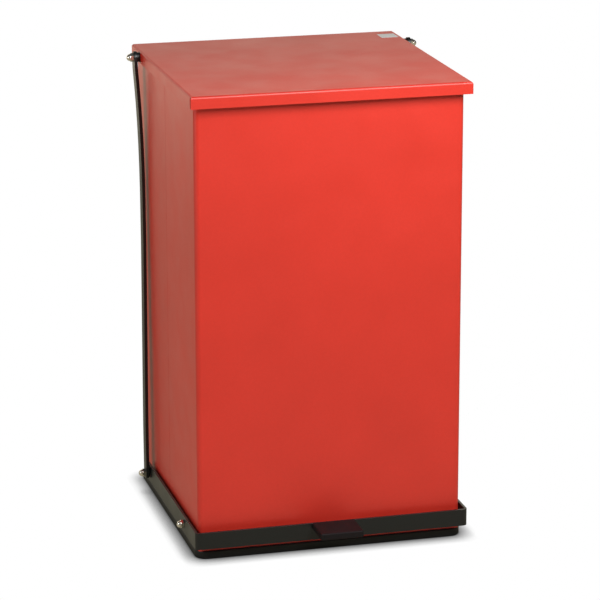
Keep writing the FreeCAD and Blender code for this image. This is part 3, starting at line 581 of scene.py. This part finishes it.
class CAN_OT_hinge(Operator):
    """Make the piano hinge's two leaves with their rolled knuckles, and its pin"""
    bl_idname = "can.hinge"
    bl_label = "Piano hinge"

    def execute(self, context):
        sizes = context.scene.can_sizes
        tree = self.make_tree()
        pin_low, pin_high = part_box("hinge_pin")
        centre = (pin_low + pin_high) / 2
        radius, sheet = sizes.knuckle_radius, sizes.leaf_sheet
        skin = sizes.bore_gap
        body_low = (pin_low.x, centre.y - radius + skin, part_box("hinge_leaf_body")[0].z)
        body_high = (pin_high.x, centre.y - radius + skin + sheet, centre.z)
        lid_low = (pin_low.x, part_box("hinge_leaf_lid")[0].y, centre.z + radius - sheet)
        lid_high = (pin_high.x, centre.y, centre.z + radius - skin)
        for node, first, low, high in (
            ("hinge_leaf_body", 0, body_low, body_high),
            ("hinge_leaf_lid", 1, lid_low, lid_high),
        ):
            piece = new_piece(node + "_rolled", self.plate(node, low, high))
            run_tree(
                piece, tree, node, radius=radius, gap=sizes.knuckle_gap,
                bore=(pin_high.z - pin_low.z) / 2 + sizes.bore_gap,
                knuckle=(pin_high.x - pin_low.x) / sizes.knuckles,
                left=pin_low.x, back=centre.y, height=centre.z,
                knuckles=sizes.knuckles, own_first=first,
            )
            soften(piece, sizes.turned_edge)
            settle(piece, node)
        finish(("hinge_pin",), sizes.turned_edge)
        return {"FINISHED"}

    def plate(self, name, low, high):
        """A leaf's flat plate."""
        work = bmesh.new()
        bmesh.ops.create_cube(work, size=1.0)
        for vertex in work.verts:
            vertex.co = [b if part > 0 else a for part, a, b in zip(vertex.co, low, high)]
        mesh = bpy.data.meshes.new(name)
        work.to_mesh(mesh)
        work.free()
        return mesh

    def make_tree(self):
        """Knuckles rolled on every second length of a plate, with room for the other leaf's."""
        names = ("Radius", "Gap", "Bore", "Knuckle", "Left", "Back", "Height")
        tree, inputs = start_tree("Hinge leaf", names, ("Knuckles", "Own first"))
        knuckle, gap, first = (inputs[name] for name in ("Knuckle", "Gap", "Own first"))
        own_length = add(tree, "ShaderNodeMath", {0: knuckle, 1: gap}, operation="SUBTRACT")
        own = self.knuckles(tree, inputs, first, inputs["Radius"], own_length)
        other_first = add(tree, "ShaderNodeMath", {0: 1.0, 1: first}, operation="SUBTRACT")
        room_radius = add(tree, "ShaderNodeMath", {0: inputs["Radius"], 1: gap})
        room_length = add(tree, "ShaderNodeMath", {0: knuckle, 1: gap})
        room = self.knuckles(tree, inputs, other_first, room_radius, room_length)
        whole = {0: knuckle, 1: inputs["Knuckles"]}
        hinge_length = add(tree, "ShaderNodeMath", whole, operation="MULTIPLY")
        centre = {0: hinge_length, 1: 0.5, 2: inputs["Left"]}
        x = add(tree, "ShaderNodeMath", centre, operation="MULTIPLY_ADD")
        through = add(tree, "ShaderNodeMath", {0: hinge_length, 1: BORE_REACH}, operation="MULTIPLY")
        hole = add(tree, "GeometryNodeMeshCylinder", {"Radius": inputs["Bore"], "Depth": through})
        axis = add(tree, "ShaderNodeCombineXYZ", {"X": x, "Y": inputs["Back"], "Z": inputs["Height"]})
        turned = {"Geometry": hole, "Translation": axis, "Rotation": (0.0, QUARTER_TURN, 0.0)}
        bore = add(tree, "GeometryNodeTransform", turned)
        rolled = {"Mesh 2": [inputs["Geometry"], own]}
        blank = add(tree, "GeometryNodeMeshBoolean", rolled, operation="UNION", solver="EXACT")
        cuts = {"Mesh 1": blank, "Mesh 2": [room, bore]}
        leaf = add(tree, "GeometryNodeMeshBoolean", cuts, operation="DIFFERENCE", solver="EXACT")
        close_tree(tree, leaf, inputs["Material"])
        return tree

    def knuckles(self, tree, inputs, first, radius, long):
        """Bars on the hinge's axis at every second knuckle from the first."""
        knuckle = inputs["Knuckle"]
        middle = add(tree, "ShaderNodeMath", {0: first, 1: 0.5})
        centre = {0: middle, 1: knuckle, 2: inputs["Left"]}
        x = add(tree, "ShaderNodeMath", centre, operation="MULTIPLY_ADD")
        start = add(tree, "ShaderNodeCombineXYZ", {"X": x, "Y": inputs["Back"], "Z": inputs["Height"]})
        step = add(tree, "ShaderNodeCombineXYZ", {
            "X": add(tree, "ShaderNodeMath", {0: knuckle, 1: 2.0}, operation="MULTIPLY"),
        })
        left = add(tree, "ShaderNodeMath", {0: inputs["Knuckles"], 1: first}, operation="SUBTRACT")
        half = add(tree, "ShaderNodeMath", {0: left, 1: 0.5}, operation="MULTIPLY")
        count = add(tree, "ShaderNodeMath", {0: half}, operation="CEIL")
        line = add(tree, "GeometryNodeMeshLine", {"Count": count, "Start Location": start, "Offset": step})
        sizes = {"Vertices": KNUCKLE_SIDES, "Radius": radius, "Depth": long}
        bar = add(tree, "GeometryNodeMeshCylinder", sizes)
        places = {"Points": line, "Instance": bar, "Rotation": (0.0, QUARTER_TURN, 0.0)}
        bars = add(tree, "GeometryNodeInstanceOnPoints", places)
        return add(tree, "GeometryNodeRealizeInstances", {"Geometry": bars})


class CAN_OT_hinge_rivets(Operator):
    """Make the domed rivets that hold the hinge to the rear wall"""
    bl_idname = "can.hinge_rivets"
    bl_label = "Hinge rivets"

    def execute(self, context):
        sizes = context.scene.can_sizes
        tree, inputs = start_tree("Domed rivet", ("Head", "Dome", "Shank", "Length"))
        head, dome, shank, long = (inputs[name] for name in ("Head", "Dome", "Shank", "Length"))
        squash = add(tree, "ShaderNodeCombineXYZ", {"X": head, "Y": head, "Z": dome})
        ball = add(tree, "GeometryNodeMeshUVSphere", {"Segments": 32, "Rings": 24, "Radius": 1.0})
        button = add(tree, "GeometryNodeTransform", {"Geometry": ball, "Scale": squash})
        face = add(tree, "ShaderNodeMath", {0: long, 1: dome}, operation="SUBTRACT")
        heads = [
            add(tree, "GeometryNodeMeshBoolean", {
                "Mesh 2": [raised(tree, button, centre), standing_bar(tree, long, dome, base)],
            }, operation="INTERSECT", solver="EXACT")
            for centre, base in ((face, face), (dome, 0.0))
        ]
        half_dome = add(tree, "ShaderNodeMath", {0: dome, 1: 0.5}, operation="MULTIPLY")
        core = standing_bar(tree, shank, face, half_dome, SHANK_SIDES)
        solids = {"Mesh 2": [core, *heads]}
        rivet = add(tree, "GeometryNodeMeshBoolean", solids, operation="UNION", solver="EXACT")
        close_tree(tree, at_marks(tree, inputs["Geometry"], rivet), inputs["Material"])
        low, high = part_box("hinge_rivets")
        first = low.x + sizes.rivet_head
        step = (high.x - low.x - 2 * sizes.rivet_head) / (sizes.rivets - 1)
        height = (low.z + high.z) / 2
        marks = [((first + step * index, low.y, height), (0, 1, 0)) for index in range(sizes.rivets)]
        piece = place_marks("hinge_rivets_set", marks)
        run_tree(piece, tree, "hinge_rivets", head=sizes.rivet_head, dome=sizes.rivet_dome,
                 shank=sizes.rivet_shank, length=high.y - low.y)
        soften(piece, sizes.bore_gap)
        settle(piece, "hinge_rivets")
        return {"FINISHED"}


class CAN_OT_dome_nuts(Operator):
    """Make the bright dome nuts at every pivot"""
    bl_idname = "can.dome_nuts"
    bl_label = "Dome nuts"

    def execute(self, context):
        sizes = context.scene.can_sizes
        tree, inputs = start_tree("Dome nut", ("Corner", "Hexagon", "Dome"))
        corner, height, dome = (inputs[name] for name in ("Corner", "Hexagon", "Dome"))
        # The cone trims the hexagon's outer corners round, as the nut's chamfer does.
        cone = add(tree, "GeometryNodeMeshCone", {
            "Vertices": CONE_SIDES,
            "Radius Top": add(tree, "ShaderNodeMath", {0: corner, 1: NUT_TOP}, operation="MULTIPLY"),
            "Radius Bottom": add(tree, "ShaderNodeMath", {0: corner, 1: NUT_FOOT}, operation="MULTIPLY"),
            "Depth": height,
        })
        trimmed = {"Mesh 2": [standing_bar(tree, corner, height, sides=NUT_SIDES), cone]}
        body = add(tree, "GeometryNodeMeshBoolean", trimmed, operation="INTERSECT", solver="EXACT")
        collar_radius = add(tree, "ShaderNodeMath", {0: dome, 1: COLLAR_RADIUS}, operation="MULTIPLY")
        collar_height = add(tree, "ShaderNodeMath", {0: height, 1: COLLAR_HEIGHT}, operation="MULTIPLY")
        ball = add(tree, "GeometryNodeMeshUVSphere", {"Segments": 40, "Rings": 24, "Radius": dome})
        solids = [body, standing_bar(tree, collar_radius, collar_height), raised(tree, ball, height)]
        nut = add(tree, "GeometryNodeMeshBoolean", {"Mesh 2": solids}, operation="UNION", solver="EXACT")
        close_tree(tree, at_marks(tree, inputs["Geometry"], nut), inputs["Material"])
        for node in ("pedal_pivot_nuts", "rod_top_nuts", "rod_foot_nut_right", "rod_foot_nut_left"):
            piece = place_marks(node + "_plated", pivot_marks(node))
            run_tree(piece, tree, node, corner=sizes.nut_corner, hexagon=sizes.nut_hex, dome=sizes.nut_dome)
            soften(piece, sizes.turned_edge)
            settle(piece, node)
        return {"FINISHED"}


class CAN_OT_bolts(Operator):
    """Make the flat-headed bolts behind the dome nuts"""
    bl_idname = "can.bolts"
    bl_label = "Bolts"

    def execute(self, context):
        sizes = context.scene.can_sizes
        tree, inputs = start_tree("Flat-headed bolt", ("Head", "Rise", "Shank", "Length"))
        head, rise, shank, long = (inputs[name] for name in ("Head", "Rise", "Shank", "Length"))
        solids = [standing_bar(tree, head, rise), standing_bar(tree, shank, long, sides=SHANK_SIDES)]
        bolt = add(tree, "GeometryNodeMeshBoolean", {"Mesh 2": solids}, operation="UNION", solver="EXACT")
        close_tree(tree, at_marks(tree, inputs["Geometry"], bolt), inputs["Material"])
        for node in ("pedal_pivot_bolts", "rod_top_bolts", "rod_foot_bolt_right", "rod_foot_bolt_left"):
            radius, long = turned_sizes(node)
            piece = place_marks(node + "_turned", pivot_marks(node))
            run_tree(piece, tree, node, head=radius, rise=sizes.bolt_head,
                     shank=sizes.bolt_shank, length=long)
            soften(piece, sizes.head_edge, 3)
            settle(piece, node)
        return {"FINISHED"}


class CAN_OT_spacers(Operator):
    """Make the black spacers and bushes between the moving bars"""
    bl_idname = "can.spacers"
    bl_label = "Spacers"

    def execute(self, context):
        sizes = context.scene.can_sizes
        tree, inputs = start_tree("Spacer", ("Outside", "Bore", "Length"))
        outside, bore, long = (inputs[name] for name in ("Outside", "Bore", "Length"))
        through = add(tree, "ShaderNodeMath", {0: long, 1: 3.0}, operation="MULTIPLY")
        below = add(tree, "ShaderNodeMath", {0: long, 1: -1.0}, operation="MULTIPLY")
        hole = standing_bar(tree, bore, through, below)
        cut = {"Mesh 1": standing_bar(tree, outside, long), "Mesh 2": hole}
        tube = add(tree, "GeometryNodeMeshBoolean", cut, operation="DIFFERENCE", solver="EXACT")
        close_tree(tree, at_marks(tree, inputs["Geometry"], tube), inputs["Material"])
        nodes = ("pedal_pivot_bushes", "rod_top_spacers", "rod_foot_spacer_right", "rod_foot_spacer_left")
        for node in nodes:
            radius, long = turned_sizes(node)
            piece = place_marks(node + "_turned", pivot_marks(node))
            run_tree(piece, tree, node, outside=radius, bore=sizes.bolt_shank + sizes.bore_gap, length=long)
            soften(piece, sizes.turned_edge)
            settle(piece, node)
        return {"FINISHED"}


class CAN_OT_stage(Operator):
    """Set the pale floor, the soft lights and the camera"""
    bl_idname = "can.stage"
    bl_label = "Stage"

    def execute(self, context):
        stage = context.scene.can_stage
        self.make_floor(context.scene.can_colours, stage)
        self.make_camera(context, stage)
        self.make_lights(context, stage)
        context.scene.view_settings.view_transform = "Standard"
        return {"FINISHED"}

    def make_floor(self, tints, stage):
        mesh = bpy.data.meshes.new("Floor")
        corners = [(-1, -1), (1, -1), (1, 1), (-1, 1)]
        mesh.from_pydata([(x * FLOOR_REACH, y * FLOOR_REACH, 0) for x, y in corners], [], [(0, 1, 2, 3)])
        mesh.materials.append(white_floor(tints, stage))
        new_piece("Floor", mesh)

    def make_camera(self, context, stage):
        data = bpy.data.cameras.new("Camera")
        data.lens = stage.lens
        data.clip_end = 2 * FLOOR_REACH
        camera = new_piece("Camera", data)
        level = cos(stage.elevation)
        back = Vector((-sin(stage.azimuth) * level, -cos(stage.azimuth) * level, sin(stage.elevation)))
        right = UP.cross(back).normalized()
        up = back.cross(right)
        roll = Matrix.Rotation(stage.roll, 3, back)
        right, up = roll @ right, roll @ up
        aim = Vector((0, stage.aim_depth, stage.aim_height))
        place = aim + back * stage.distance + right * stage.slide_right - up * stage.slide_down
        camera.matrix_world = Matrix.Translation(place) @ Matrix((right, up, back)).transposed().to_4x4()
        context.scene.camera = camera

    def make_lights(self, context, stage):
        world = bpy.data.worlds.new("Surroundings")
        context.scene.world = world
        world.use_nodes = True
        tree = world.node_tree
        tree.nodes.clear()
        sky = add(tree, "ShaderNodeBackground", {"Color": linear(WHITE), "Strength": stage.sky})
        add(tree, "ShaderNodeOutputWorld", {"Surface": sky.outputs[0]})
        for name, tint, place, aim, width, height, power in (
            ("Key", WHITE, (0.3, -0.98, 1.2), (0, -0.15, 0.45), 0.6, 0.6, stage.key),
            ("Side", WHITE, (-1.5, -0.4, 0.75), (-0.18, 0, 0.35), 0.6, 0.6, stage.side),
            ("Back", "#FFF3DC", (-0.2, 2.4, 0.9), (0, 0, 0.6), 4.5, 1.8, stage.back),
        ):
            data = bpy.data.lights.new(name, "AREA")
            data.shape = "RECTANGLE"
            data.size = width
            data.size_y = height
            data.energy = power
            data.color = linear(tint)[:3]
            lamp = new_piece(name, data)
            along = Vector(aim) - Vector(place)
            turned = along.to_track_quat("-Z", "Y").to_matrix().to_4x4()
            lamp.matrix_world = Matrix.Translation(place) @ turned


class CAN_PT_panel(Panel):
    """The can's steps in the order they run"""
    bl_label = "Step-on Can"
    bl_idname = "CAN_PT_panel"
    bl_space_type = "VIEW_3D"
    bl_region_type = "UI"
    bl_category = "Step-on Can"

    def draw(self, context):
        for step in STEPS:
            self.layout.operator(step.bl_idname)
        for group in (context.scene.can_colours, context.scene.can_sizes, context.scene.can_stage):
            box = self.layout.box()
            for name in group.bl_rna.properties.keys():
                if name not in ("rna_type", "name"):
                    box.prop(group, name)


STEPS = (
    CAN_OT_finishes, CAN_OT_casing, CAN_OT_base_bumper, CAN_OT_lid, CAN_OT_liner, CAN_OT_pedal,
    CAN_OT_lift_rods, CAN_OT_hinge, CAN_OT_hinge_rivets, CAN_OT_dome_nuts, CAN_OT_bolts, CAN_OT_spacers,
    CAN_OT_stage,
)
GROUPS = {"can_colours": CanColours, "can_sizes": CanSizes, "can_stage": CanStage}


def register():
    for kind in (*GROUPS.values(), *STEPS, CAN_PT_panel):
        bpy.utils.register_class(kind)
    for name, group in GROUPS.items():
        setattr(bpy.types.Scene, name, PointerProperty(type=group))


def unregister():
    for name in GROUPS:
        delattr(bpy.types.Scene, name)
    for kind in reversed((*GROUPS.values(), *STEPS, CAN_PT_panel)):
        bpy.utils.unregister_class(kind)


def main():
    register()
    for step in STEPS:
        group, name = step.bl_idname.split(".")
        getattr(getattr(bpy.ops, group), name)()


if __name__ == "__main__":
    main()
